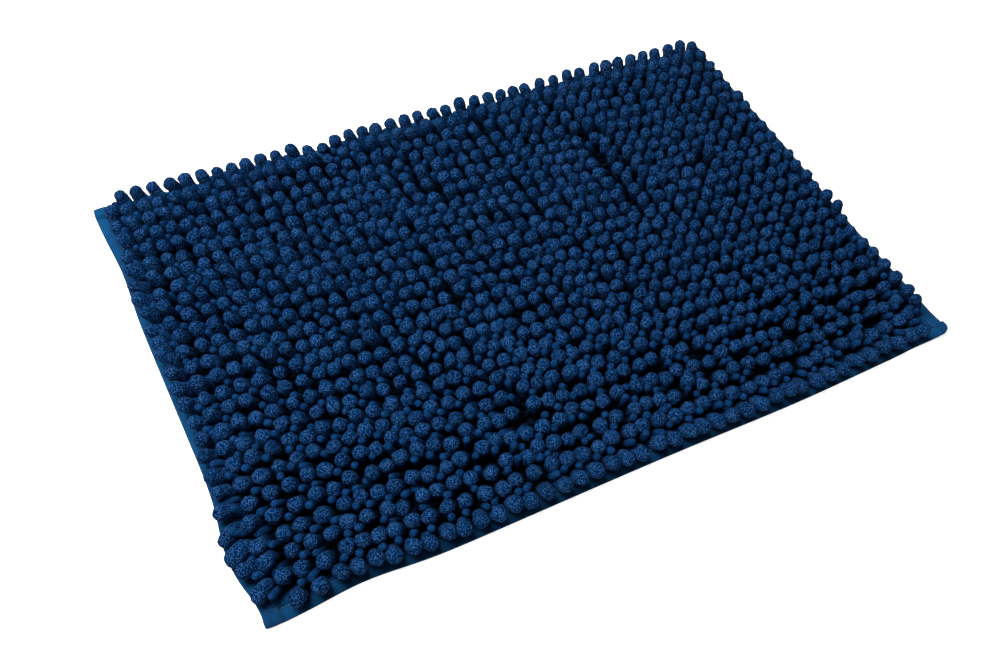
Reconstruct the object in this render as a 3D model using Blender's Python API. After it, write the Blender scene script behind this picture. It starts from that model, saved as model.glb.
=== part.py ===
"""A bath mat with a chenille noodle pile, lying flat: X along its length, Z up.

The origin is under the middle of the mat, on the surface that it lies on. The pile is tufted in
rows along the mat: rows of thick noodles, with a row of thin noodles between each two of them.
The ground cloth is folded under on all four sides and sewn down, and a latex backing fills the
underside inside that fold. Sizes are in metres.
"""

import math

import bmesh
import bpy
from mathutils import Matrix

# The mat
MAT_LENGTH = 0.800
MAT_WIDTH = 0.500

# The ground cloth and its folded hem
CLOTH_THICKNESS = 0.0013
HEM_WIDTH = 0.015
CORNER_RADIUS = 0.006
FOLD_ROUNDING = 0.0009

# The sewing along the hem
THREAD_DIAMETER = 0.0008
THREAD_TO_PILE = 0.0030

# The pile: counts, and the sizes of one noodle
THICK_ROWS = 26
NOODLES_PER_ROW = 43
THICK_HEIGHT = 0.0305
THICK_BASE_WIDTH = 0.0130
THICK_TIP_WIDTH = 0.0115
THIN_HEIGHT = 0.0250
THIN_TIP_SHARE = 0.7
YARN_RUN_HEIGHT = 0.0030

# Room between neighbours that touch
CLEARANCE = 0.0003

QUARTER_TURN = math.pi / 2
FLAT = 1e-6  # points nearer than this in height lie at one height

CLOTH_TOP = 2 * CLOTH_THICKNESS + CLEARANCE
PILE_BOTTOM = CLOTH_TOP + CLEARANCE
THICK_PITCH_Y = (MAT_WIDTH - 2 * HEM_WIDTH - THICK_BASE_WIDTH) / (THICK_ROWS - 1)
PILE_LENGTH = MAT_LENGTH - 2 * HEM_WIDTH
NOODLE_PITCH_X = PILE_LENGTH / NOODLES_PER_ROW
THIN_BASE_WIDTH = THICK_PITCH_Y - THICK_BASE_WIDTH - 2 * CLEARANCE

PILE_BLUE = (0.010, 0.050, 0.175)
THIN_PILE_BLUE = (0.011, 0.058, 0.200)
CLOTH_BLUE = (0.012, 0.115, 0.305)
THREAD_BLUE = (0.015, 0.095, 0.260)
BACKING_WHITE = (0.62, 0.62, 0.58)


def clear_scene():
    for obj in list(bpy.data.objects):
        bpy.data.objects.remove(obj, do_unlink=True)


def material(name, colour, roughness):
    made = bpy.data.materials.new(name)
    made.use_nodes = True
    shader = made.node_tree.nodes["Principled BSDF"]
    shader.inputs["Base Color"].default_value = (*colour, 1.0)
    shader.inputs["Roughness"].default_value = roughness
    shader.inputs["Metallic"].default_value = 0.0
    return made


def add_object(name, shape, finish):
    """Turns a bmesh into a named object with one material."""
    bmesh.ops.recalc_face_normals(shape, faces=shape.faces)
    mesh = bpy.data.meshes.new(name)
    shape.to_mesh(mesh)
    shape.free()
    obj = bpy.data.objects.new(name, mesh)
    bpy.context.scene.collection.objects.link(obj)
    if finish:
        mesh.materials.append(finish)
    return obj


def slab(length, width, bottom, top):
    """A block centred over the origin between two heights."""
    shape = bmesh.new()
    size = Matrix.Diagonal((length, width, top - bottom, 1.0))
    place = Matrix.Translation((0.0, 0.0, (bottom + top) / 2))
    bmesh.ops.create_cube(shape, size=1.0, matrix=place @ size)
    return shape


def round_upright_edges(shape, radius):
    edges = [e for e in shape.edges if abs(e.verts[0].co.z - e.verts[1].co.z) > FLAT]
    bmesh.ops.bevel(shape, geom=edges, offset=radius, segments=4, profile=0.5, affect="EDGES")


def round_rims(shape, radius):
    """Rounds the outer edge of the top face and of the bottom face."""
    heights = [v.co.z for v in shape.verts]
    ends = (min(heights), max(heights))
    edges = [
        e
        for e in shape.edges
        if any(all(abs(v.co.z - end) < FLAT for v in e.verts) for end in ends)
    ]
    bmesh.ops.bevel(shape, geom=edges, offset=radius, segments=2, profile=0.5, affect="EDGES")


def cut(body, cutter):
    cutter.hide_render = True
    cutter.display_type = "WIRE"
    boolean = body.modifiers.new(cutter.name, "BOOLEAN")
    boolean.operation = "DIFFERENCE"
    boolean.object = cutter


def ground_cloth():
    """The woven sheet with its edge folded under: two layers along the hem, one inside it."""
    shape = slab(MAT_LENGTH, MAT_WIDTH, 0.0, CLOTH_TOP)
    round_upright_edges(shape, CORNER_RADIUS)
    round_rims(shape, FOLD_ROUNDING)
    cloth = add_object("ground_cloth", shape, material("ground_cloth", CLOTH_BLUE, 0.9))
    underside = CLOTH_TOP - CLOTH_THICKNESS
    inside = slab(MAT_LENGTH - 2 * HEM_WIDTH, MAT_WIDTH - 2 * HEM_WIDTH, -CLOTH_TOP, underside)
    cut(cloth, add_object("room_inside_the_hem", inside, None))
    in_fold = slab(
        MAT_LENGTH - 2 * CLOTH_THICKNESS,
        MAT_WIDTH - 2 * CLOTH_THICKNESS,
        CLOTH_THICKNESS,
        underside,
    )
    round_upright_edges(in_fold, CORNER_RADIUS - CLOTH_THICKNESS)
    cut(cloth, add_object("room_in_the_fold", in_fold, None))


def nonslip_backing():
    """The latex sheet that fills the underside inside the folded hem, down to the floor."""
    room = HEM_WIDTH + CLEARANCE
    sheet = slab(MAT_LENGTH - 2 * room, MAT_WIDTH - 2 * room, 0.0, CLOTH_THICKNESS)
    add_object("nonslip_backing", sheet, material("nonslip_backing", BACKING_WHITE, 0.7))


def thread(name, half_length, centre, turn, finish):
    """One line of sewing thread, a six-sided bar that lies on the hem."""
    shape = bmesh.new()
    along_x = Matrix.Rotation(QUARTER_TURN, 4, "Y")
    place = Matrix.Translation(centre) @ turn @ along_x
    bmesh.ops.create_cone(
        shape,
        cap_ends=True,
        segments=6,
        radius1=THREAD_DIAMETER / 2,
        radius2=THREAD_DIAMETER / 2,
        depth=2 * half_length,
        matrix=place,
    )
    add_object(name, shape, finish)


def hem_threads():
    """Sewing near the inner side of each hem. The short sides' lines end at the long sides' lines."""
    inset = HEM_WIDTH - THREAD_TO_PILE
    line_y = MAT_WIDTH / 2 - inset
    line_x = MAT_LENGTH / 2 - inset
    height = CLOTH_TOP + CLEARANCE + THREAD_DIAMETER / 2
    finish = material("hem_thread", THREAD_BLUE, 0.6)
    straight = Matrix.Identity(4)
    across = Matrix.Rotation(QUARTER_TURN, 4, "Z")
    long_half = MAT_LENGTH / 2 - CORNER_RADIUS
    short_half = line_y - THREAD_DIAMETER / 2 - CLEARANCE
    thread("hem_thread_front", long_half, (0.0, -line_y, height), straight, finish)
    thread("hem_thread_back", long_half, (0.0, line_y, height), straight, finish)
    thread("hem_thread_left", short_half, (-line_x, 0.0, height), across, finish)
    thread("hem_thread_right", short_half, (line_x, 0.0, height), across, finish)


def thick_row(name, y, finish):
    """One yarn tufted into thick noodles: a low run along the cloth, and a tapered noodle at each pitch."""
    run_top = PILE_BOTTOM + YARN_RUN_HEIGHT
    tip = PILE_BOTTOM + THICK_HEIGHT
    half_base = THICK_BASE_WIDTH / 2
    half_tip = THICK_TIP_WIDTH / 2
    shape = bmesh.new()

    def pair(x, half, z):
        return [shape.verts.new((x, y + side * half, z)) for side in (-1, 1)]

    start = pair(-PILE_LENGTH / 2, half_base, PILE_BOTTOM)
    notch = pair(-PILE_LENGTH / 2, half_base, run_top)
    front_rail, back_rail = [notch[0]], [notch[1]]
    shape.faces.new((start[0], start[1], notch[1], notch[0]))
    for k in range(NOODLES_PER_ROW):
        middle = (k + 0.5) * NOODLE_PITCH_X - PILE_LENGTH / 2
        left = pair(middle - half_tip, half_tip, tip)
        right = pair(middle + half_tip, half_tip, tip)
        next_notch = pair(middle + NOODLE_PITCH_X / 2, half_base, run_top)
        shape.faces.new((notch[0], notch[1], left[1], left[0]))
        shape.faces.new((left[0], left[1], right[1], right[0]))
        shape.faces.new((right[0], right[1], next_notch[1], next_notch[0]))
        shape.faces.new((notch[0], left[0], right[0], next_notch[0]))
        shape.faces.new((notch[1], next_notch[1], right[1], left[1]))
        notch = next_notch
        front_rail.append(notch[0])
        back_rail.append(notch[1])
    end = pair(PILE_LENGTH / 2, half_base, PILE_BOTTOM)
    shape.faces.new((end[0], notch[0], notch[1], end[1]))
    shape.faces.new([start[0], *front_rail, end[0]])
    shape.faces.new([start[1], *back_rail, end[1]])
    shape.faces.new((start[0], end[0], end[1], start[1]))
    add_object(name, shape, finish)


def thin_row(name, y, finish):
    """The envelope of one row of thin noodles: a bar with sloping sides, half a pitch in at each end."""
    half_length = (PILE_LENGTH - NOODLE_PITCH_X) / 2
    half_base = THIN_BASE_WIDTH / 2
    half_tip = half_base * THIN_TIP_SHARE
    shape = bmesh.new()
    rings = []
    for x in (-half_length, half_length):
        section = (
            (-half_base, PILE_BOTTOM),
            (half_base, PILE_BOTTOM),
            (half_tip, PILE_BOTTOM + THIN_HEIGHT),
            (-half_tip, PILE_BOTTOM + THIN_HEIGHT),
        )
        rings.append([shape.verts.new((x, y + across, z)) for across, z in section])
    shape.faces.new(rings[0])
    shape.faces.new(rings[1])
    for k in range(4):
        following = (k + 1) % 4
        shape.faces.new((rings[0][k], rings[0][following], rings[1][following], rings[1][k]))
    add_object(name, shape, finish)


def pile():
    thick = material("thick_pile", PILE_BLUE, 0.95)
    thin = material("thin_pile", THIN_PILE_BLUE, 0.9)
    first = -MAT_WIDTH / 2 + HEM_WIDTH + THICK_BASE_WIDTH / 2
    for k in range(THICK_ROWS):
        thick_row(f"thick_pile_row_{k + 1:02d}", first + k * THICK_PITCH_Y, thick)
    for k in range(THICK_ROWS - 1):
        thin_row(f"thin_pile_row_{k + 1:02d}", first + (k + 0.5) * THICK_PITCH_Y, thin)


clear_scene()
ground_cloth()
nonslip_backing()
hem_threads()
pile()
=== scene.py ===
"""The looks of the bath mat: a chenille noodle pile on a hemmed cotton cloth, lying flat.

Every noodle is a chain of points that leans its own way, rests against its neighbours, and is then
skinned as a soft terry finger. The cloth is one sheet folded under on all four sides. Lengths are
in metres, +X runs along the mat and the mat's front edge is at -Y.
"""

import math

import bpy
import numpy as np
from mathutils import Matrix, Vector


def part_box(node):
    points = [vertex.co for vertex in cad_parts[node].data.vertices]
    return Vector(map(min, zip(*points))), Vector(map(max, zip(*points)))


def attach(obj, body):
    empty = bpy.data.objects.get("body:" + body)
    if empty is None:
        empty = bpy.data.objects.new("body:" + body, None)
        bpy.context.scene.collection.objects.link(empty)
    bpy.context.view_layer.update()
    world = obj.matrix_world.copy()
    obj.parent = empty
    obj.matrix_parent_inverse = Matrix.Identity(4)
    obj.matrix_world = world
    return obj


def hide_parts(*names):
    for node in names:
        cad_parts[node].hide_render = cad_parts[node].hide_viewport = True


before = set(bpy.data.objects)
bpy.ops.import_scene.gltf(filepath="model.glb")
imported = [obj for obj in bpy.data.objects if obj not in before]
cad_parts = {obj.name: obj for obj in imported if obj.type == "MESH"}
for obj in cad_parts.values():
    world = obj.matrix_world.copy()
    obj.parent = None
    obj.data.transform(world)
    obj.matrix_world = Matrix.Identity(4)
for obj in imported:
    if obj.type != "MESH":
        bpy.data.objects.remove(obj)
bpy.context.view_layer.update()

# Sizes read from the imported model
CLOTH_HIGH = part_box("ground_cloth")[1]
HALF_LENGTH = CLOTH_HIGH.x
HALF_WIDTH = CLOTH_HIGH.y
BACKING_LOW, BACKING_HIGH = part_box("nonslip_backing")
HEM_WIDTH = HALF_LENGTH - BACKING_HIGH.x
THICK_ROWS = sorted(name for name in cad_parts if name.startswith("thick_pile_row"))
THIN_ROWS = sorted(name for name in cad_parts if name.startswith("thin_pile_row"))
HEM_THREADS = sorted(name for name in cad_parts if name.startswith("hem_thread"))
PILE_LOW, PILE_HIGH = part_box(THICK_ROWS[0])
THIN_LOW, THIN_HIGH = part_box(THIN_ROWS[0])

# The pile
NOODLES_PER_ROW = 43
PITCH_AT_LEFT = 16.8  # only the ratio of these two counts, because each row fills its length
PITCH_AT_RIGHT = 19.4
THICK_RADIUS = 0.0067
THIN_RADIUS = 0.0035
THICK_LENGTH = PILE_HIGH.z - PILE_LOW.z + 0.0005
THIN_LENGTH = THIN_HIGH.z - THIN_LOW.z
THICK_STRAY = 0.0005  # how far roots stray from their places
THIN_STRAY = 0.0020
SIZE_SPREAD = 0.045  # standard deviation of radii and lengths, as a share
THICK_OWN_LEAN = 0.0008  # how much each noodle's lean differs from its area's
THIN_OWN_LEAN = 0.0024
THIN_LEANS_ON = (-0.0020, 0.0025)  # how much further a thin noodle leans, onto a thick one
YARN_RUN_RADIUS = 0.0024
ROOT_DEPTH = 0.0008
CHAIN_POINTS = 6
SETTLING_STEPS = 70
STEPS_PER_SEARCH = 12  # touching points are looked for again after so many steps
MEETING_REACH = 0.046  # only noodles whose roots are this close are kept apart
TOUCHING_SLACK = 0.004
EARLY_HOLD = 0.10  # how strongly a noodle keeps to its lean, in the first half of the steps
LATE_HOLD = 0.04
PUSH_SHARE = 0.9  # how much of an overlap is undone in one step
BEND_SHARE = 0.15  # how much of a kink is straightened in one step
MOST_LEAN = 0.94  # the furthest lean, as a share of a noodle's length

# How finely a noodle is skinned, and how rough and lumpy its skin is, in metres
THICK_SKIN = dict(sides=34, body_rings=14, dome_rings=6, rough=0.00030, lumpy=0.00030)
THIN_SKIN = dict(sides=14, body_rings=10, dome_rings=4, rough=0.00007, lumpy=0.00010)

# The cloth
CLOTH_THICKNESS = 0.0011
LAYER_STEP = 0.0014
FIRST_LAYER = 0.0006
SEAM_INSET = 0.0120
SEAM_DEPTH = 0.0010  # how far the stitches lie below the cloth beside them
CORNER_ROUNDING = 0.010
CORNER_LIFT = 0.0045  # the front right corner stands up a little

# The sewing
THREAD_RADIUS = 0.00030
STITCH_PITCH = 0.0034
STITCH_GAP = 0.0006
STITCH_RISE = 0.00055
STITCH_STRAY = 0.00012

# The dots under the backing
DOT_HEIGHT = 0.0004
DOT_RADIUS = 0.0016
DOT_PITCH = 0.010

WAVE_BANDS = 3.2  # a wave texture at scale 1 has about this many bands to the metre
SEED = 863


# ---------------------------------------------------------------- small helpers


def smooth(value, low, high):
    """0 below low, 1 above high, and an S-curve between them."""
    t = np.clip((value - low) / (high - low), 0.0, 1.0)
    return t * t * (3.0 - 2.0 * t)


def bump(value, centre, spread):
    """1 at the centre, falling off smoothly to both sides."""
    return np.exp(-(((value - centre) / spread) ** 2))


def add_mesh(name, points, faces, material, **values):
    """A smooth-shaded mesh object with one material, and named values for its points."""
    mesh = bpy.data.meshes.new(name)
    mesh.from_pydata(points, [], faces)
    for title, numbers in values.items():
        layer = mesh.attributes.new(title, "FLOAT", "POINT")
        layer.data.foreach_set("value", np.asarray(numbers, np.float32))
    mesh.shade_smooth()
    mesh.materials.append(material)
    obj = bpy.data.objects.new(name, mesh)
    bpy.context.scene.collection.objects.link(obj)
    return obj


def give_to_frame(obj, slot, *nodes):
    """The piece rides on the mat and stands for these CAD nodes. The slot is not used."""
    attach(obj, "root")
    if nodes:
        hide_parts(*nodes)


# ---------------------------------------------------------------- how the mat lies


def edge_waves(x, y):
    """How far the cloth has moved sideways from its true rectangle, as (x, y).

    The left edge is drawn in near the back and bulges out near the front. The front edge is drawn
    in near its left end and bulges to the right of its middle, and the back edge bulges out along
    most of its length."""
    from_left = x + HALF_LENGTH
    from_front = y + HALF_WIDTH
    left = 0.0035 * bump(y, 0.16, 0.045) - 0.0085 * bump(y, -0.178, 0.045)
    left = left * (1.0 - smooth(from_left, 0.0, 0.09)) * smooth(from_front, 0.0, 0.05)
    front = 0.0055 * bump(x, -0.31, 0.05) - 0.0030 * bump(x, 0.18, 0.12)
    front = front + 0.0010 * bump(x, 0.35, 0.02)
    front = front * (1.0 - smooth(from_front, 0.0, 0.09))
    right = 0.0015 * np.sin(y * 23.0) * smooth(x, HALF_LENGTH - 0.06, HALF_LENGTH)
    back = 0.0050 * smooth(x, -0.28, -0.05) * smooth(y, 0.10, HALF_WIDTH)
    return left + right, front + back


# ---------------------------------------------------------------- the pile: where noodles lean

# (x, y, lean in x, lean in y): the way that the heads have been brushed at places on the mat,
# with the leans in millimetres.
BRUSHED = (
    (-0.34, 0.20, -11, 7),
    (-0.20, 0.20, -11.5, 7),
    (-0.05, 0.20, -10.5, 6.5),
    (0.10, 0.20, -8, 6),
    (0.22, 0.20, -3, 6),
    (0.35, 0.20, -3, 5),
    (-0.34, 0.08, -12.5, 8),
    (-0.20, 0.08, -12.5, 9),
    (-0.05, 0.08, -12, 9),
    (0.10, 0.08, -11.5, 9),
    (0.22, 0.08, -6, 6),
    (0.35, 0.08, -5, 5),
    (-0.34, -0.06, -12, -1),
    (-0.20, -0.06, -11.5, 2),
    (-0.05, -0.06, -10.5, 4),
    (0.10, -0.06, -10.5, 5.5),
    (0.22, -0.06, -8, 4.5),
    (0.35, -0.06, -6.5, 2.5),
    (-0.34, -0.18, -11, -6),
    (-0.20, -0.18, -11, -5),
    (-0.05, -0.18, -10, -3.5),
    (0.10, -0.18, -9, -2),
    (0.22, -0.18, -8.5, -2),
    (0.35, -0.18, -8, -3),
)
BRUSH_REACH = 0.075

CLUMPS = ((0.020, 0.0016), (0.0070, 0.0007))  # reach and size of the random leans
PARTING_X = 0.165
PARTING_WIDTH = 0.035
PARTING_SIZE = 0.006
HOLLOWS = ((-0.09, -0.157, 0.010), (-0.30, -0.02, 0.006), (0.27, 0.05, 0.006))  # x, y, size
HOLLOW_REACH = 0.03
FLOPPED_X = -0.142
FLOPPED_WIDTH = 0.018
FLOPPED_BY = 0.017
OUTER_ROOTS = HEM_WIDTH + 0.0065  # from the mat's edge to its outermost noodles


def brushed_lean(x, y):
    """The lean at each point, blended from the places above, the nearest ones most."""
    total = np.zeros_like(x)
    lean_x = np.zeros_like(x)
    lean_y = np.zeros_like(x)
    for at_x, at_y, mm_x, mm_y in BRUSHED:
        weight = np.exp(-((x - at_x) ** 2 + (y - at_y) ** 2) / BRUSH_REACH**2)
        total += weight
        lean_x += weight * mm_x
        lean_y += weight * mm_y
    return lean_x / total * 0.001, lean_y / total * 0.001


def clumps(x, y, reach, size, rng):
    """A smooth random lean, so that neighbours lean together in clumps with partings between."""
    lean_x = np.zeros_like(x)
    lean_y = np.zeros_like(x)
    waves = 24
    for _ in range(waves):
        turn = rng.uniform(0.0, math.tau)
        across = (x * math.cos(turn) + y * math.sin(turn)) / reach * rng.uniform(0.7, 1.5)
        wave = np.sin(across + rng.uniform(0.0, math.tau))
        way = rng.uniform(0.0, math.tau)
        lean_x += wave * math.cos(way)
        lean_y += wave * math.sin(way)
    scale = size / math.sqrt(waves / 2)
    return lean_x * scale, lean_y * scale


def opened(x, y, at_x, at_y, size, reach):
    """Heads pushed away from a point, which leaves a dark hollow there."""
    off_x, off_y = x - at_x, y - at_y
    far = np.sqrt(off_x**2 + off_y**2) + 0.004
    push = size * np.exp(-((far / reach) ** 2)) / far
    return off_x * push, off_y * push


def lean_of(x, y, rng):
    """Where each head lies from its root, before the noodles rest on each other."""
    lean_x, lean_y = brushed_lean(x, y)
    for reach, size in CLUMPS:
        more_x, more_y = clumps(x, y, reach, size, rng)
        lean_x, lean_y = lean_x + more_x, lean_y + more_y
    # A parting across the back half of the mat, to the right of its middle
    parting = np.tanh((x - PARTING_X) / 0.008) * bump(x, PARTING_X, PARTING_WIDTH)
    begins = smooth(y, -0.02, 0.02)
    ends = 1.0 - smooth(y, 0.13, 0.17)
    lean_x = lean_x + PARTING_SIZE * parting * begins * ends
    for at_x, at_y, size in HOLLOWS:
        push_x, push_y = opened(x, y, at_x, at_y, size, HOLLOW_REACH)
        lean_x, lean_y = lean_x + push_x, lean_y + push_y
    return lean_at_edges(x, y, lean_x, lean_y)


def lean_at_edges(x, y, lean_x, lean_y):
    """The leans, changed near the mat's edges: each edge brings in its own by a share of 0 to 1."""
    # The front rows fall towards the front edge, the first row most of all
    front = 1.0 - smooth(y + HALF_WIDTH, 0.020, 0.120)
    first_row = bump(y, -HALF_WIDTH + OUTER_ROOTS, 0.014) * (y < 0)
    lean_y = lean_y * (1.0 - front) - (0.0095 + 0.0010 * smooth(x, -0.1, 0.2)) * front
    lean_y = lean_y - 0.0030 * first_row
    lean_x = lean_x * (1.0 - 0.7 * first_row)

    # The back row stands straighter to the right
    back = bump(y, HALF_WIDTH - OUTER_ROOTS, 0.012) * (y > 0)
    straight_x = -0.0090 + 0.0055 * smooth(x, 0.02, 0.30)
    straight_y = 0.0080 + 0.0030 * smooth(x, -0.25, 0.25)
    lean_x = lean_x * (1.0 - back) + straight_x * back
    lean_y = lean_y * (1.0 - back) + straight_y * back

    # The left column falls outwards, and spills over the edge at two places
    left = bump(x, -HALF_LENGTH + OUTER_ROOTS, 0.014) * (x < 0)
    spilling = 0.004 * bump(y, 0.1175, 0.020) + 0.011 * bump(y, -0.170, 0.034)
    spilling = spilling + 0.0045 * (1.0 - smooth(y, 0.05, 0.20))
    lean_x = lean_x * (1.0 - left) - (0.0095 + spilling) * left

    # The right column leans in over the mat, apart from a noodle that stands up
    right = bump(x, HALF_LENGTH - OUTER_ROOTS, 0.012) * (x > 0)
    inwards = -0.0075 + 0.0010 * np.sin(y * 70.0) + 0.008 * bump(y, -0.055, 0.010)
    lean_x = lean_x * (1.0 - right) + inwards * right
    lean_y = lean_y * (1.0 - right) + 0.0030 * right
    corner = bump(x, HALF_LENGTH, 0.035) * bump(y, -HALF_WIDTH, 0.035)
    lean_x = lean_x - 0.003 * corner

    # A short stretch of the back row has flopped forwards
    flopped = bump(x, FLOPPED_X, FLOPPED_WIDTH) * back
    lean_y = lean_y - FLOPPED_BY * flopped
    return lean_x, lean_y


# ---------------------------------------------------------------- the pile: chains of points


def along_row(count, half_length):
    """Borders between the noodles along a row: the tufting opens out a little towards the right."""
    pitch = np.linspace(PITCH_AT_LEFT, PITCH_AT_RIGHT, count)
    ends = np.concatenate([[0.0], np.cumsum(pitch)]) * (2.0 * half_length / pitch.sum())
    return ends - half_length


def lay_out(rng):
    """The roots, radii and lengths of all noodles, with the row that each belongs to."""
    half_pile = PILE_HIGH.x
    ends = along_row(NOODLES_PER_ROW, half_pile)
    middles = (ends[1:] + ends[:-1]) / 2
    rows = []
    for name in THICK_ROWS:
        low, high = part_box(name)
        middle_y = (low.y + high.y) / 2
        at = middles
        # Three corners are bare: both front ones and the back left one
        if name in (THICK_ROWS[0], THICK_ROWS[-1]):
            at = at[1:]
        if name == THICK_ROWS[0]:
            at = at[:-1]
        rows.append((name, at, middle_y, THICK_RADIUS, THICK_LENGTH, THICK_STRAY))
    for name in THIN_ROWS:
        low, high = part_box(name)
        middle_y = (low.y + high.y) / 2
        rows.append((name, ends[1:-1], middle_y, THIN_RADIUS, THIN_LENGTH, THIN_STRAY))
    x, y, radius, length, row_of = [], [], [], [], []
    for index, (_, at, row_y, noodle_radius, noodle_length, stray) in enumerate(rows):
        count = len(at)
        x.append(at + rng.normal(0.0, stray, count))
        y.append(row_y + rng.normal(0.0, stray * 0.6, count))
        # The noodles are fuller near the front, most of all at its left
        in_front = smooth(-row_y, 0.05, 0.15)
        size = 1.0 + 0.09 * smooth(-row_y, -0.08, 0.12) * smooth(-at, -0.25, 0.05)
        size = size + 0.04 * in_front * smooth(at, -0.25, 0.05)
        longer = 1.0
        if noodle_radius == THIN_RADIUS:
            longer = 1.0 + 0.15 * in_front
        radius.append(noodle_radius * size * rng.normal(1.0, SIZE_SPREAD, count))
        length.append(noodle_length * longer * rng.normal(1.0, SIZE_SPREAD, count))
        row_of.append(np.full(count, index))
    x, y = np.concatenate(x), np.concatenate(y)
    move_x, move_y = edge_waves(x, y)
    spread_x = 0.0035 * smooth(x, 0.25, 0.385) - 0.0030 * smooth(-x, 0.30, 0.385)
    spread_y = 0.0045 * smooth(y, 0.15, 0.235) - 0.0030 * smooth(-y, 0.13, 0.235)
    names = [row[0] for row in rows]
    return (
        names,
        x + move_x + spread_x,
        y + move_y + spread_y,
        np.concatenate(radius),
        np.concatenate(length),
        np.concatenate(row_of),
    )


def leaning_chain(x, y, lean_x, lean_y, reach):
    """Points along each noodle: fairly straight, but the outermost ones droop towards their heads."""
    far = np.sqrt(lean_x**2 + lean_y**2)
    way_x, way_y = lean_x / (far + 1e-9), lean_y / (far + 1e-9)
    most = np.clip(far / reach, 0.0, MOST_LEAN)
    spare = np.minimum(HALF_WIDTH + y, HALF_LENGTH - np.abs(x))
    droop = 0.10 + 0.40 * (1.0 - smooth(spare, 0.022, 0.036))
    mean_tilt = np.arcsin(most)
    points = np.zeros((len(x), CHAIN_POINTS, 3))
    points[:, 0] = np.stack([x, y, np.full(len(x), PILE_LOW.z)], 1)
    step = reach / (CHAIN_POINTS - 1)
    for k in range(1, CHAIN_POINTS):
        tilt = mean_tilt * (1.0 + droop * (2.0 * (k - 0.5) / (CHAIN_POINTS - 1) - 1.0))
        points[:, k, 0] = points[:, k - 1, 0] + step * np.sin(tilt) * way_x
        points[:, k, 1] = points[:, k - 1, 1] + step * np.sin(tilt) * way_y
        points[:, k, 2] = points[:, k - 1, 2] + step * np.cos(tilt)
    return points


def near_pairs(base, reach):
    """Pairs of noodles whose roots are close enough for the noodles to meet."""
    order = np.argsort(base[:, 0], kind="stable")
    x, y = base[order, 0], base[order, 1]
    ahead = np.searchsorted(x, x + reach)
    first, second = [], []
    for i in range(len(order)):
        others = np.arange(i + 1, ahead[i])
        others = others[np.abs(y[others] - y[i]) < reach]
        first.append(np.full(len(others), i))
        second.append(others)
    return order[np.concatenate(first)], order[np.concatenate(second)]


def point_pairs(chain, radii, pairs, slack):
    """Pairs of chain points, one on each noodle of a pair, that may touch soon."""
    flat = chain.reshape(-1, 3)
    flat_radii = radii.reshape(-1)
    found_a, found_b = [], []
    for j in range(1, CHAIN_POINTS):
        for k in range(1, CHAIN_POINTS):
            a = pairs[0] * CHAIN_POINTS + j
            b = pairs[1] * CHAIN_POINTS + k
            gap = np.linalg.norm(flat[a] - flat[b], axis=1) - flat_radii[a] - flat_radii[b]
            close = gap < slack
            found_a.append(a[close])
            found_b.append(b[close])
    return np.concatenate(found_a), np.concatenate(found_b)


def push_apart(chain, radii, a, b, softness):
    """Moves points that lie in each other to just touch, half of the way each."""
    flat = chain.reshape(-1, 3)
    flat_radii = radii.reshape(-1)
    between = flat[a] - flat[b]
    apart = np.linalg.norm(between, axis=1) + 1e-9
    depth = np.clip(flat_radii[a] + flat_radii[b] - apart, 0.0, None)
    move = between * (0.5 * softness * depth / apart)[:, None]
    touched = depth > 0
    count = np.bincount(a[touched], minlength=len(flat)) + np.bincount(b[touched], minlength=len(flat))
    for axis in range(3):
        total = np.bincount(a, move[:, axis], len(flat)) - np.bincount(b, move[:, axis], len(flat))
        flat[:, axis] += total / np.sqrt(np.maximum(count, 1))


def settle(chain, radius, reach):
    """Lets the noodles rest on each other and on the cloth, each at its own length."""
    wanted = chain.copy()
    swell = np.linspace(0.0, 1.0, CHAIN_POINTS)
    radii = radius[:, None] * (0.80 + 0.19 * smooth(swell, 0.0, 0.5))[None, :]
    pairs = near_pairs(chain[:, 0], MEETING_REACH)
    step = (reach / (CHAIN_POINTS - 1))[:, None]
    for turn in range(SETTLING_STEPS):
        if turn % STEPS_PER_SEARCH == 0:
            a, b = point_pairs(chain, radii, pairs, TOUCHING_SLACK)
        hold = EARLY_HOLD if turn < SETTLING_STEPS // 2 else LATE_HOLD
        chain[:, 1:] += hold * (wanted[:, 1:] - chain[:, 1:])
        push_apart(chain, radii, a, b, PUSH_SHARE)
        bend = chain[:, 2:] - 2 * chain[:, 1:-1] + chain[:, :-2]
        chain[:, 1:-1] += BEND_SHARE * bend
        floor = PILE_LOW.z + radii[:, 1:] * 0.85 * smooth(swell[1:], 0.1, 0.6)
        chain[:, 1:, 2] = np.maximum(chain[:, 1:, 2], floor)
        for k in range(1, CHAIN_POINTS):
            along = chain[:, k] - chain[:, k - 1]
            long = np.linalg.norm(along, axis=1, keepdims=True) + 1e-9
            chain[:, k] = chain[:, k - 1] + along / long * step
    return chain


def relaxed_pile(rng):
    """All noodles as settled chains, with their sizes and the rows that they belong to."""
    names, x, y, radius, length, row_of = lay_out(rng)
    reach = length - radius
    lean_x, lean_y = lean_of(x, y, rng)
    outermost = np.abs(y) > HALF_WIDTH - 0.03
    is_thin = radius < (THICK_RADIUS + THIN_RADIUS) / 2
    own = np.where(is_thin, THIN_OWN_LEAN, THICK_OWN_LEAN) * np.where(outermost, 0.5, 1.0)
    own = own * (1.0 + 0.9 * (1.0 - smooth(y + HALF_WIDTH, 0.05, 0.16)))
    lean_x = lean_x + rng.normal(0.0, 1.0, len(x)) * own + THIN_LEANS_ON[0] * is_thin
    lean_y = lean_y + rng.normal(0.0, 1.0, len(x)) * own + THIN_LEANS_ON[1] * is_thin
    chain = leaning_chain(x, y, lean_x, lean_y, reach)
    chain = settle(chain, radius, reach)
    return names, chain, radius, length, row_of


# ---------------------------------------------------------------- the pile: skinning the chains


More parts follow.
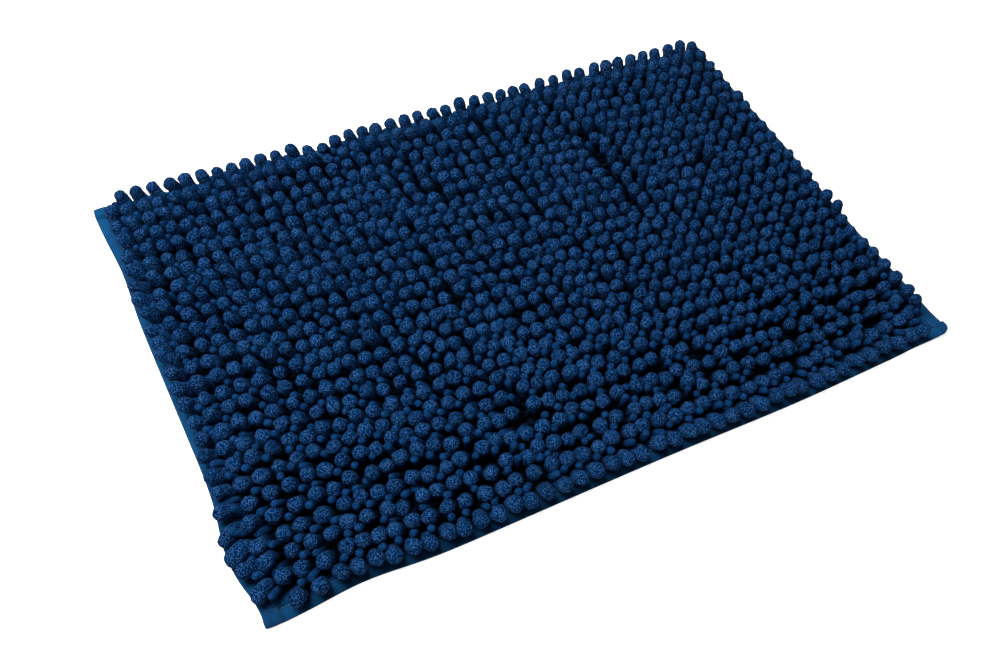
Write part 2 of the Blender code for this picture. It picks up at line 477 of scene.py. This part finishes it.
def on_chain(chain, s, reach):
    """Points at the distances s along the chains, on a smooth curve through the chain points."""
    padded = np.concatenate(
        [2 * chain[:, :1] - chain[:, 1:2], chain, 2 * chain[:, -1:] - chain[:, -2:-1]], 1
    )
    t = np.clip(s / reach[:, None], 0.0, 1.0) * (CHAIN_POINTS - 1)
    cell = np.minimum(t.astype(int), CHAIN_POINTS - 2)
    u = (t - cell)[..., None]
    rows = np.arange(len(chain))[:, None]
    p0, p1, p2, p3 = (padded[rows, cell + k] for k in range(4))
    curve = (
        2 * p1
        + (p2 - p0) * u
        + (2 * p0 - 5 * p1 + 4 * p2 - p3) * u**2
        + (3 * p1 - p0 - 3 * p2 + p3) * u**3
    ) / 2
    below = np.minimum(s, 0.0)[..., None]
    beyond = np.maximum(s - reach[:, None], 0.0)[..., None]
    start = chain[:, 1] - chain[:, 0]
    end = chain[:, -1] - chain[:, -2]
    start = start / np.linalg.norm(start, axis=1, keepdims=True)
    end = end / np.linalg.norm(end, axis=1, keepdims=True)
    return curve + below * start[:, None] + beyond * end[:, None]


def frames_along(curve):
    """Two crosswise directions at each ring, carried along the curve so that nothing twists."""
    along = np.gradient(curve, axis=1)
    along /= np.linalg.norm(along, axis=2, keepdims=True) + 1e-12
    side = np.zeros_like(curve)
    start = np.cross(along[:, 0], [0.0, 1.0, 0.0])
    side[:, 0] = start / (np.linalg.norm(start, axis=1, keepdims=True) + 1e-12)
    for k in range(1, curve.shape[1]):
        carried = side[:, k - 1]
        carried = carried - (carried * along[:, k]).sum(1, keepdims=True) * along[:, k]
        side[:, k] = carried / (np.linalg.norm(carried, axis=1, keepdims=True) + 1e-12)
    return side, np.cross(along, side)


def blurred(values, passes):
    """Random values smoothed over neighbouring points of the rings, then brought back to full size."""
    for _ in range(passes):
        values = (values + np.roll(values, 1, 2) + np.roll(values, -1, 2)) / 3
        values = (values + np.concatenate([values[:, :1], values[:, :-1]], 1)) / 2
        values = (values + np.concatenate([values[:, 1:], values[:, -1:]], 1)) / 2
    return values / (values.std() + 1e-12)


def noodle_skin(chain, radius, length, sides, body_rings, dome_rings, rough, lumpy, rng):
    """Points and faces of many noodles: a tube that swells from its root and ends in a dome.

    The third result is how far each point is from the root, as a share of a thick noodle's length."""
    count = len(chain)
    reach = length - radius
    body = np.linspace(0.0, 1.0, body_rings)[None, :] * (reach + ROOT_DEPTH)[:, None] - ROOT_DEPTH
    turn = np.linspace(0.0, math.pi / 2, dome_rings + 2)[1:-1]
    dome = reach[:, None] + radius[:, None] * np.sin(turn)[None, :]
    s = np.concatenate([body, dome], 1)
    curve = on_chain(chain, s, reach)
    side, other = frames_along(curve)
    grown = 0.72 + 0.28 * smooth(body / reach[:, None], -0.1, 0.45)
    taper = np.concatenate([grown, np.ones((count, 1)) * np.cos(turn)[None, :]], 1)
    rings = s.shape[1]
    spin = rng.uniform(0.0, math.tau, count)[:, None, None]
    stagger = (np.arange(rings) % 2 * 0.5)[None, :, None]
    angle = (np.arange(sides)[None, None, :] + stagger) * (math.tau / sides) + spin
    noise = rng.normal(0.0, 1.0, (count, rings, sides))
    relief = rough * blurred(noise, 1) + lumpy * blurred(rng.normal(0.0, 1.0, noise.shape), 4)
    calm = np.concatenate([np.ones(body_rings), np.cos(turn) ** 0.5])[None, :, None]
    out = radius[:, None, None] * taper[..., None] + relief * calm
    ring = side[:, :, None] * np.cos(angle)[..., None] + other[:, :, None] * np.sin(angle)[..., None]
    skin = curve[:, :, None] + ring * out[..., None]
    tip = on_chain(chain, length[:, None] + 0.3 * relief[:, -1:, 0], reach)
    points = np.concatenate([skin.reshape(count, -1, 3), tip], 1)
    points[..., 2] = np.maximum(points[..., 2], PILE_LOW.z - ROOT_DEPTH)

    k = np.arange(sides)
    following = (k + 1) % sides
    triangles = []
    for r in range(rings - 1):
        low, high = r * sides, (r + 1) * sides
        if r % 2 == 0:
            triangles.append(np.stack([low + k, low + following, high + k], 1))
            triangles.append(np.stack([low + following, high + following, high + k], 1))
        else:
            triangles.append(np.stack([low + k, low + following, high + following], 1))
            triangles.append(np.stack([low + k, high + following, high + k], 1))
    last = (rings - 1) * sides
    triangles.append(np.stack([last + k, last + following, np.full(sides, rings * sides)], 1))
    triangles = np.concatenate(triangles)
    faces = triangles[None] + (np.arange(count) * points.shape[1])[:, None, None]
    rise = np.concatenate([np.repeat(s, sides, 1), length[:, None]], 1) / THICK_LENGTH
    return points.reshape(-1, 3), faces.reshape(-1, 3), rise.reshape(-1)


def yarn_run(roots, rng):
    """The low run of yarn that joins the roots of one row along the cloth."""
    order = np.argsort(roots[:, 0])
    roots = roots[order]
    sides = 10
    x = np.linspace(roots[0, 0] - 0.004, roots[-1, 0] + 0.004, len(roots) * 5)
    y = np.interp(x, roots[:, 0], roots[:, 1])
    wobble = 1.0 + 0.18 * np.sin(x * 900.0) + rng.normal(0.0, 0.05, len(x))
    angle = np.arange(sides) * math.tau / sides
    radius = YARN_RUN_RADIUS * wobble[:, None]
    points = np.stack(
        [
            np.repeat(x[:, None], sides, 1),
            y[:, None] + radius * np.cos(angle)[None],
            PILE_LOW.z + 0.0004 + radius * (0.55 + 0.75 * np.sin(angle)[None]),
        ],
        2,
    )
    k = np.arange(sides)
    following = (k + 1) % sides
    faces = []
    for r in range(len(x) - 1):
        low, high = r * sides, (r + 1) * sides
        faces.append(np.stack([low + k, high + k, high + following], 1))
        faces.append(np.stack([low + k, high + following, low + following], 1))
    return points.reshape(-1, 3), np.concatenate(faces)


def pile(thick, thin):
    """One mesh for each row: its noodles and the run of yarn that joins them."""
    rng = np.random.default_rng(SEED)
    names, chain, radius, length, row_of = relaxed_pile(rng)
    for index, name in enumerate(names):
        mine = row_of == index
        is_thick = name in THICK_ROWS
        skin = THICK_SKIN if is_thick else THIN_SKIN
        points, faces, rise = noodle_skin(chain[mine], radius[mine], length[mine], rng=rng, **skin)
        each = len(points) // mine.sum()
        tones = np.repeat(rng.normal(0.0, 1.0, mine.sum()), each)
        run_points, run_faces = yarn_run(chain[mine][:, 0], rng)
        faces = np.concatenate([faces, run_faces + len(points)])
        points = np.concatenate([points, run_points])
        tones = np.concatenate([tones, np.zeros(len(run_points))])
        rise = np.concatenate([rise, np.zeros(len(run_points))])
        from_edge = np.minimum(HALF_LENGTH - np.abs(points[:, 0]), HALF_WIDTH - np.abs(points[:, 1]))
        # The painted root shade is weaker at the outermost noodles, whose roots light reaches
        rise = rise + (1.0 - rise) * 0.7 * (1.0 - smooth(from_edge, 0.012, 0.032))
        yarn = thick if is_thick else thin
        row = add_mesh(f"{name}_noodles", points, faces, yarn, tone=tones, rise=rise)
        give_to_frame(row, "thick_pile" if is_thick else "thin_pile", name)


# ---------------------------------------------------------------- the ground cloth


def cut_lines(half):
    """Where the cloth is divided from its cut edge to its other cut edge: finely near the folds."""
    fold = LAYER_STEP / 2
    turned_under = HEM_WIDTH - 0.0008
    bend = np.linspace(0.0, math.pi * fold, 7)
    start = half - fold
    fine = np.arange(0.0, 0.034, 0.0008)
    coarse = np.linspace(0.0, start - fine[-1], max(4, int((start - fine[-1]) / 0.0075)))[:-1]
    out = np.concatenate([coarse, start - fine[::-1], start + bend[1:]])
    under = start + math.pi * fold + np.arange(0.001, turned_under, 0.001)
    out = np.concatenate([out, under])
    return np.concatenate([-out[:0:-1], out])


def folded(p, half):
    """Where a point of the flat cloth goes when the edge is turned under.

    Gives its place, and how far it is turned under, from 0 to 1."""
    fold = LAYER_STEP / 2
    start = half - fold
    past = np.abs(p) - start
    bend = np.clip(past / fold, 0.0, math.pi)
    under = np.clip(past - math.pi * fold, 0.0, None)
    place = np.where(past < 0, np.abs(p), start + fold * np.sin(bend) - under)
    turned = (1.0 - np.cos(bend)) / 2
    return np.sign(p) * place, turned


def rounded_corner(x, y):
    """Pulls the square corners of the outline in to round ones."""
    in_x = np.clip((np.abs(x) - (HALF_LENGTH - CORNER_ROUNDING)) / CORNER_ROUNDING, 0.0, 1.0)
    in_y = np.clip((np.abs(y) - (HALF_WIDTH - CORNER_ROUNDING)) / CORNER_ROUNDING, 0.0, 1.0)
    less_x = in_x * (1.0 - np.sqrt(1.0 - in_y**2 / 2)) * CORNER_ROUNDING
    less_y = in_y * (1.0 - np.sqrt(1.0 - in_x**2 / 2)) * CORNER_ROUNDING
    right_front = smooth(x, 0.0, 0.1) * (1.0 - smooth(y, -0.1, 0.0))
    amount = 0.35 + 0.65 * right_front
    return x - np.sign(x) * less_x * amount, y - np.sign(y) * less_y * amount


def hem_relief(inset):
    """How far the hem's top stands up or dips, by the distance from the folded edge."""
    puff = 0.0014 * bump(inset, 0.0055, 0.0040)
    valley = -0.0014 * bump(inset, SEAM_INSET, 0.0014)
    ridge = 0.0014 * bump(inset, SEAM_INSET + 0.0042, 0.0020)
    return puff + valley + ridge


def hem_share(inset):
    """1 on the hem and 0 inside it, by the distance from the folded edge."""
    return 1.0 - smooth(inset, SEAM_INSET + 0.0005, SEAM_INSET + 0.0030)


def corner_lift(x, y):
    """How far the cloth stands up at the front right corner."""
    return CORNER_LIFT * bump(x, HALF_LENGTH, 0.030) * bump(y, -HALF_WIDTH, 0.022)


def cloth_shade(x, y, inset_x, inset_y, above):
    """How much painted shade the cloth gets: under the pile, in the seam groove, and on the front and
    left hems.
    """
    under_pile = smooth(np.minimum(inset_x, inset_y), SEAM_INSET + 0.0040, SEAM_INSET + 0.0140) * above
    in_seam = np.maximum(bump(inset_x, SEAM_INSET, 0.0010), bump(inset_y, SEAM_INSET, 0.0010))
    in_front = 1.0 - smooth(y + HALF_WIDTH, 0.012, 0.030)
    in_front = 0.35 * in_front * (1.0 - smooth(x, 0.30, 0.36))
    at_left = 1.0 - smooth(x + HALF_LENGTH, 0.012, 0.030)
    at_left = 0.22 * at_left * (1.0 - smooth(y, 0.17, 0.23))
    return np.maximum.reduce([under_pile, 0.45 * in_seam * above, in_front, at_left])


def ripples(x, y, rng):
    """Small uneven waves of the cloth, from -1 to 1."""
    height = np.zeros_like(x)
    for _ in range(14):
        turn = rng.uniform(0.0, math.tau)
        pace = rng.uniform(60.0, 420.0)
        height += np.sin((x * math.cos(turn) + y * math.sin(turn)) * pace + rng.uniform(0, math.tau))
    return height / 14


def ground_cloth(material):
    """One flat sheet of points, folded under at all four sides and then moved by its waves."""
    rng = np.random.default_rng(SEED + 1)
    p, q = np.meshgrid(cut_lines(HALF_LENGTH), cut_lines(HALF_WIDTH), indexing="ij")
    x, under_x = folded(p, HALF_LENGTH)
    y, under_y = folded(q, HALF_WIDTH)
    inset_x = HALF_LENGTH - np.abs(x)
    inset_y = HALF_WIDTH - np.abs(y)
    end_hem = hem_share(inset_x)
    side_hem = hem_share(inset_y)
    top = 1.0 + 2.0 * end_hem * side_hem  # both hems lie on each other at the corners
    turned_end = 2.0 * side_hem
    level = (1.0 - under_y) * ((1.0 - under_x) * top + under_x * turned_end)
    level = level + under_y * under_x
    z = FIRST_LAYER + LAYER_STEP * level
    above = (1.0 - under_x) * (1.0 - under_y)
    inset = np.minimum(inset_x, inset_y)
    z = z + above * (hem_relief(inset) + 0.00035 * ripples(x, y, rng) * smooth(inset, 0.0, 0.004))
    x, y = rounded_corner(x, y)
    move_x, move_y = edge_waves(x, y)
    x, y = x + move_x, y + move_y
    z = z + corner_lift(x, y)
    tab = bump(y, -HALF_WIDTH, 0.009) * bump(x, -HALF_LENGTH, 0.009)
    x = x - 0.0020 * tab

    rows, columns = x.shape
    points = np.stack([x, y, z], 2).reshape(-1, 3)
    index = np.arange(rows * columns).reshape(rows, columns)
    corners = (index[:-1, :-1], index[1:, :-1], index[1:, 1:], index[:-1, 1:])
    faces = np.stack([c.reshape(-1) for c in corners], 1)
    shaded = cloth_shade(x, y, inset_x, inset_y, above)
    cloth = add_mesh("ground_cloth_hemmed", points, faces, material, shaded=shaded.reshape(-1))
    thick = cloth.modifiers.new("cloth thickness", "SOLIDIFY")
    thick.thickness = CLOTH_THICKNESS
    thick.offset = 0.0
    give_to_frame(cloth, "ground_cloth", "ground_cloth")


# ---------------------------------------------------------------- sewing


def stitch(start, end, rise, radius, sides=7, rings=7):
    """One stitch: thread that comes up out of the cloth, runs over it and goes down again."""
    along = (end - start).normalized()
    across = Vector((0, 0, 1)).cross(along)
    points = []
    for r in range(rings):
        t = r / (rings - 1)
        middle = start.lerp(end, t) + Vector((0, 0, rise * math.sin(math.pi * t) - 0.4 * rise))
        slope = math.atan2(rise * math.pi * math.cos(math.pi * t), (end - start).length)
        up = Vector((0, 0, 1)) * math.cos(slope) - along * math.sin(slope)
        for s in range(sides):
            turn = math.tau * s / sides
            points.append(middle + (across * math.cos(turn) + up * math.sin(turn)) * radius)
    faces = []
    for r in range(rings - 1):
        for s in range(sides):
            n = (s + 1) % sides
            faces.append((r * sides + s, r * sides + n, (r + 1) * sides + n, (r + 1) * sides + s))
    faces.append(tuple(range(sides - 1, -1, -1)))
    faces.append(tuple((rings - 1) * sides + s for s in range(sides)))
    return points, faces


def on_hem(x, y):
    """A point of the seam line on the top of the hem, after the cloth's waves."""
    x, y = float(x), float(y)
    move_x, move_y = edge_waves(np.array(x), np.array(y))
    lifted = corner_lift(x, y)
    end_hem = hem_share(HALF_LENGTH - abs(x))
    side_hem = hem_share(HALF_WIDTH - abs(y))
    top = FIRST_LAYER + LAYER_STEP * (1.0 + 2.0 * end_hem * side_hem) + CLOTH_THICKNESS / 2
    return Vector((x + float(move_x), y + float(move_y), float(top + lifted) - SEAM_DEPTH))


def hem_sewing(material):
    """One line of single stitches on each side, where the frame has its thread."""
    rng = np.random.default_rng(SEED + 2)
    for node in HEM_THREADS:
        low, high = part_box(node)
        lengthwise = high.x - low.x > high.y - low.y
        span = (low.x, high.x) if lengthwise else (low.y, high.y)
        fixed = (low.y + high.y) / 2 if lengthwise else (low.x + high.x) / 2
        points, faces = [], []
        count = int((span[1] - span[0]) / STITCH_PITCH)
        for k in range(count):
            a = span[0] + k * STITCH_PITCH + STITCH_GAP / 2
            b = a + STITCH_PITCH - STITCH_GAP
            stray = rng.normal(0.0, STITCH_STRAY, 2)
            if lengthwise:
                ends = on_hem(a, fixed + stray[0]), on_hem(b, fixed + stray[1])
            else:
                ends = on_hem(fixed + stray[0], a), on_hem(fixed + stray[1], b)
            more_points, more_faces = stitch(*ends, STITCH_RISE, THREAD_RADIUS)
            faces += [tuple(i + len(points) for i in face) for face in more_faces]
            points += more_points
        sewing = add_mesh(f"{node}_stitches", points, faces, material)
        give_to_frame(sewing, "hem_thread", node)


# ---------------------------------------------------------------- the backing


def backing(material):
    """A latex sheet with small raised dots underneath that grip the floor."""
    low, high = BACKING_LOW, BACKING_HIGH
    rings = ((1.0, DOT_HEIGHT), (0.80, 0.00012), (0.40, 0.00001))  # share of the radius, height
    bottom = low.z + DOT_HEIGHT
    points = [
        (x, y, z) for z in (bottom, high.z) for y in (low.y, high.y) for x in (low.x, high.x)
    ]
    faces = [(0, 2, 3, 1), (4, 5, 7, 6), (0, 1, 5, 4), (1, 3, 7, 5), (3, 2, 6, 7), (2, 0, 4, 6)]
    sides = 10
    across = int((high.x - low.x) / DOT_PITCH) - 1
    down = int((high.y - low.y) / DOT_PITCH) - 1
    for j in range(down):
        for i in range(across - j % 2):
            x = low.x + (i + 1 + 0.5 * (j % 2)) * (high.x - low.x) / (across + 1)
            y = low.y + (j + 1) * (high.y - low.y) / (down + 1)
            first = len(points)
            for share, z in rings:
                for s in range(sides):
                    turn = math.tau * s / sides
                    reach = DOT_RADIUS * share
                    points.append((x + reach * math.cos(turn), y + reach * math.sin(turn), low.z + z))
            for r in range(len(rings) - 1):
                for s in range(sides):
                    n = (s + 1) % sides
                    a, b = first + r * sides, first + (r + 1) * sides
                    faces.append((a + s, b + s, b + n, a + n))
            faces.append(tuple(first + (len(rings) - 1) * sides + s for s in range(sides))[::-1])
            faces.append(tuple(first + s for s in range(sides)))
    sheet = add_mesh("nonslip_backing_latex", points, faces, material)
    sheet.data.set_sharp_from_angle(angle=math.radians(40))
    give_to_frame(sheet, "nonslip_backing", "nonslip_backing")


# ---------------------------------------------------------------- materials


def new_material(name):
    """A material with its nodes, its links and its main shader."""
    made = bpy.data.materials.new(name)
    made.use_nodes = True
    nodes, links = made.node_tree.nodes, made.node_tree.links
    return made, nodes, links, nodes["Principled BSDF"]


def ramp(nodes, stops):
    """A colour ramp through the stops, each a position and a colour."""
    node = nodes.new("ShaderNodeValToRGB")
    first, last = node.color_ramp.elements[0], node.color_ramp.elements[1]
    first.position, first.color = stops[0][0], (*stops[0][1], 1.0)
    last.position, last.color = stops[-1][0], (*stops[-1][1], 1.0)
    for position, colour in stops[1:-1]:
        node.color_ramp.elements.new(position).color = (*colour, 1.0)
    return node


def scaled_colour(nodes, links, colour, value):
    """A colour output made darker or lighter by a value output."""
    shade = nodes.new("ShaderNodeHueSaturation")
    links.new(colour, shade.inputs["Color"])
    links.new(value, shade.inputs["Value"])
    return shade.outputs["Color"]


def add_relief(nodes, links, shader, height, strength, distance):
    """Bumps that follow a height output."""
    raised = nodes.new("ShaderNodeBump")
    raised.inputs["Strength"].default_value = strength
    raised.inputs["Distance"].default_value = distance
    links.new(height, raised.inputs["Height"])
    links.new(raised.outputs["Normal"], shader.inputs["Normal"])
    return raised


def chenille(name, dark, middle, light, yarn, relief, sheen):
    """Terry loops: small bumped cells, with a painted highlight on their tops and painted shade
    between them, and painted shade that deepens towards the roots.
    """
    made, nodes, links, shader = new_material(name)
    where = nodes.new("ShaderNodeTexCoord")
    cells = nodes.new("ShaderNodeTexVoronoi")
    cells.feature = "F1"
    cells.inputs["Scale"].default_value = 1.0 / yarn
    cells.inputs["Randomness"].default_value = 0.9
    links.new(where.outputs["Object"], cells.inputs["Vector"])
    # painted highlight at the middle of each cell, on the loop tops, and painted shade towards its
    # edge, between the loops
    colours = ramp(nodes, ((0.08, light), (0.40, middle), (0.72, dark)))
    links.new(cells.outputs["Distance"], colours.inputs["Fac"])

    patches = nodes.new("ShaderNodeTexNoise")
    patches.inputs["Scale"].default_value = 260.0
    patches.inputs["Detail"].default_value = 3.0
    links.new(where.outputs["Object"], patches.inputs["Vector"])
    tone = nodes.new("ShaderNodeAttribute")
    tone.attribute_name = "tone"
    own = nodes.new("ShaderNodeMath")
    own.operation = "MULTIPLY_ADD"
    own.inputs[1].default_value = 0.10
    own.inputs[2].default_value = 0.55
    links.new(tone.outputs["Fac"], own.inputs[0])
    value = nodes.new("ShaderNodeMath")
    value.operation = "MULTIPLY_ADD"
    value.inputs[1].default_value = 0.9
    links.new(patches.outputs["Fac"], value.inputs[0])
    links.new(own.outputs["Value"], value.inputs[2])
    rise = nodes.new("ShaderNodeAttribute")
    rise.attribute_name = "rise"
    painted_root_shade = nodes.new("ShaderNodeMapRange")  # painted shade: the colour darkens towards the roots, where light is trapped low in the pile
    painted_root_shade.interpolation_type = "SMOOTHSTEP"
    painted_root_shade.inputs["From Min"].default_value = 0.30
    painted_root_shade.inputs["From Max"].default_value = 0.85
    painted_root_shade.inputs["To Min"].default_value = 0.05
    painted_root_shade.inputs["To Max"].default_value = 1.0
    links.new(rise.outputs["Fac"], painted_root_shade.inputs["Value"])
    lit = nodes.new("ShaderNodeMath")
    lit.operation = "MULTIPLY"
    links.new(value.outputs["Value"], lit.inputs[0])
    links.new(painted_root_shade.outputs["Result"], lit.inputs[1])
    shown = scaled_colour(nodes, links, colours.outputs["Color"], lit.outputs["Value"])
    links.new(shown, shader.inputs["Base Color"])

    loops = add_relief(nodes, links, shader, cells.outputs["Distance"], 0.9, relief)
    loops.invert = True  # the middle of a cell stands up
    shader.inputs["Roughness"].default_value = 0.95
    shader.inputs["Specular IOR Level"].default_value = 0.01
    shader.inputs["Sheen Weight"].default_value = sheen
    shader.inputs["Sheen Roughness"].default_value = 0.5
    shader.inputs["Sheen Tint"].default_value = (0.05, 0.35, 0.80, 1.0)
    return made


def woven(name, dark, light, thread):
    """Plain woven cotton: crossing threads, with soft patches of wear."""
    made, nodes, links, shader = new_material(name)
    where = nodes.new("ShaderNodeTexCoord")
    heights = []
    for direction in ("X", "Y"):
        wave = nodes.new("ShaderNodeTexWave")
        wave.bands_direction = direction
        wave.inputs["Scale"].default_value = 1.0 / thread / WAVE_BANDS
        wave.inputs["Distortion"].default_value = 1.2
        wave.inputs["Detail"].default_value = 1.0
        wave.inputs["Detail Scale"].default_value = 1.5
        links.new(where.outputs["Object"], wave.inputs["Vector"])
        heights.append(wave.outputs["Fac"])
    weave = nodes.new("ShaderNodeMath")
    weave.operation = "MAXIMUM"
    links.new(heights[0], weave.inputs[0])
    links.new(heights[1], weave.inputs[1])
    patches = nodes.new("ShaderNodeTexNoise")
    patches.inputs["Scale"].default_value = 90.0
    patches.inputs["Detail"].default_value = 5.0
    links.new(where.outputs["Object"], patches.inputs["Vector"])
    amount = nodes.new("ShaderNodeMath")
    amount.operation = "MULTIPLY"
    links.new(weave.outputs["Value"], amount.inputs[0])
    links.new(patches.outputs["Fac"], amount.inputs[1])
    colours = ramp(nodes, ((0.10, dark), (0.55, light)))
    links.new(amount.outputs["Value"], colours.inputs["Fac"])
    shaded = nodes.new("ShaderNodeAttribute")
    shaded.attribute_name = "shaded"
    lit = nodes.new("ShaderNodeMapRange")  # painted shade from the shaded values: under the pile, where little light gets down between the noodles, in the seam and on the front and left hems
    lit.inputs["To Min"].default_value = 1.0
    lit.inputs["To Max"].default_value = 0.03
    links.new(shaded.outputs["Fac"], lit.inputs["Value"])
    shown = scaled_colour(nodes, links, colours.outputs["Color"], lit.outputs["Result"])
    links.new(shown, shader.inputs["Base Color"])
    add_relief(nodes, links, shader, weave.outputs["Value"], 0.6, 0.00025)
    shader.inputs["Roughness"].default_value = 0.9
    shader.inputs["Specular IOR Level"].default_value = 0.04
    shader.inputs["Sheen Weight"].default_value = 0.08
    shader.inputs["Sheen Tint"].default_value = (0.2, 0.5, 0.9, 1.0)
    return made


def twisted_thread(name, colour, highlight):
    """Sewing thread: slanting bands of two plies."""
    made, nodes, links, shader = new_material(name)
    where = nodes.new("ShaderNodeTexCoord")
    twist = nodes.new("ShaderNodeTexWave")
    twist.bands_direction = "DIAGONAL"
    twist.inputs["Scale"].default_value = 900.0
    twist.inputs["Distortion"].default_value = 1.0
    links.new(where.outputs["Object"], twist.inputs["Vector"])
    colours = ramp(nodes, ((0.2, colour), (0.8, highlight)))
    links.new(twist.outputs["Fac"], colours.inputs["Fac"])
    links.new(colours.outputs["Color"], shader.inputs["Base Color"])
    add_relief(nodes, links, shader, twist.outputs["Fac"], 0.5, 0.0001)
    shader.inputs["Roughness"].default_value = 0.6
    return made


def latex(name):
    """Matt off-white latex with a fine grain."""
    made, nodes, links, shader = new_material(name)
    where = nodes.new("ShaderNodeTexCoord")
    grain = nodes.new("ShaderNodeTexNoise")
    grain.inputs["Scale"].default_value = 320.0
    grain.inputs["Detail"].default_value = 6.0
    links.new(where.outputs["Object"], grain.inputs["Vector"])
    colours = ramp(nodes, ((0.3, (0.50, 0.50, 0.46)), (0.7, (0.68, 0.67, 0.62))))
    links.new(grain.outputs["Fac"], colours.inputs["Fac"])
    links.new(colours.outputs["Color"], shader.inputs["Base Color"])
    add_relief(nodes, links, shader, grain.outputs["Fac"], 0.4, 0.0002)
    shader.inputs["Roughness"].default_value = 0.7
    return made


# ---------------------------------------------------------------- floor, lights and camera


def plain_floor():
    """A grey floor that gives off white light, so that it shows as a plain white ground."""
    mesh = bpy.data.meshes.new("floor")
    size = 6.0
    under = -0.0004  # just below the mat
    mesh.from_pydata(
        [(-size, -size, under), (size, -size, under), (size, size, under), (-size, size, under)],
        [],
        [(0, 1, 2, 3)],
    )
    floor = bpy.data.objects.new("floor", mesh)
    bpy.context.scene.collection.objects.link(floor)
    made, _, _, shader = new_material("floor")
    shader.inputs["Base Color"].default_value = (0.45, 0.45, 0.45, 1.0)
    shader.inputs["Roughness"].default_value = 1.0
    shader.inputs["Specular IOR Level"].default_value = 0.0
    shader.inputs["Emission Color"].default_value = (1.0, 1.0, 1.0, 1.0)
    shader.inputs["Emission Strength"].default_value = 0.82
    mesh.materials.append(made)


def area_light(name, place, aim, size, power):
    """A square light at a place, turned towards its aim. Its power is in watts."""
    data = bpy.data.lights.new(name, "AREA")
    data.shape = "SQUARE"
    data.size = size
    data.energy = power
    light = bpy.data.objects.new(name, data)
    light.location = place
    light.rotation_euler = (Vector(aim) - Vector(place)).to_track_quat("-Z", "Y").to_euler()
    bpy.context.scene.collection.objects.link(light)


def studio():
    """A dim white sky, a key light from the upper left, and a weak fill from the front left."""
    world = bpy.data.worlds.new("studio")
    bpy.context.scene.world = world
    world.use_nodes = True
    background = world.node_tree.nodes["Background"]
    background.inputs["Color"].default_value = (1.0, 1.0, 1.0, 1.0)
    background.inputs["Strength"].default_value = 0.10
    area_light("key", (-0.95, 0.28, 1.90), (0.0, 0.0, 0.0), 1.0, 131.0)
    area_light("fill", (-1.2, -1.2, 1.8), (0.0, 0.0, 0.0), 2.0, 8.0)
    bpy.context.scene.view_settings.view_transform = "Standard"


def camera():
    """The camera looks down on the mat from its front left, tipped a little to one side."""
    azimuth, elevation = math.radians(-39.447), math.radians(53.495)
    roll = math.radians(13.838)
    target = Vector((-0.0708, -0.0545, 0.0))
    distance = 1.1178
    back = Vector(
        (
            math.sin(azimuth) * math.cos(elevation),
            -math.cos(azimuth) * math.cos(elevation),
            math.sin(elevation),
        )
    )
    right = (-back).cross(Vector((0, 0, 1))).normalized()
    up = right.cross(-back)
    level = Matrix((right, up, back)).transposed()
    tipped = level @ Matrix.Rotation(roll, 3, "Z")
    data = bpy.data.cameras.new("camera")
    data.sensor_width = 36.0
    data.lens = 38.6
    data.clip_start = 0.05
    obj = bpy.data.objects.new("camera", data)
    obj.matrix_world = Matrix.Translation(target + back * distance) @ tipped.to_4x4()
    bpy.context.scene.collection.objects.link(obj)
    bpy.context.scene.camera = obj


camera()
thick_yarn = chenille(
    "thick_pile",
    dark=(0.0001, 0.0030, 0.016),
    middle=(0.0004, 0.0205, 0.071),
    light=(0.0510, 0.109, 0.248),
    yarn=0.0013,
    relief=0.0010,
    sheen=0.008,
)
thin_yarn = chenille(
    "thin_pile",
    dark=(0.0004, 0.008, 0.032),
    middle=(0.0020, 0.020, 0.068),
    light=(0.0130, 0.056, 0.150),
    yarn=0.0011,
    relief=0.0006,
    sheen=0.012,
)
pile(thick_yarn, thin_yarn)
backing(latex("nonslip_backing"))
ground_cloth(woven("ground_cloth", (0.0006, 0.018, 0.057), (0.0024, 0.041, 0.112), 0.0007))
hem_sewing(twisted_thread("hem_thread", (0.006, 0.045, 0.120), (0.015, 0.08, 0.19)))
plain_floor()
studio()
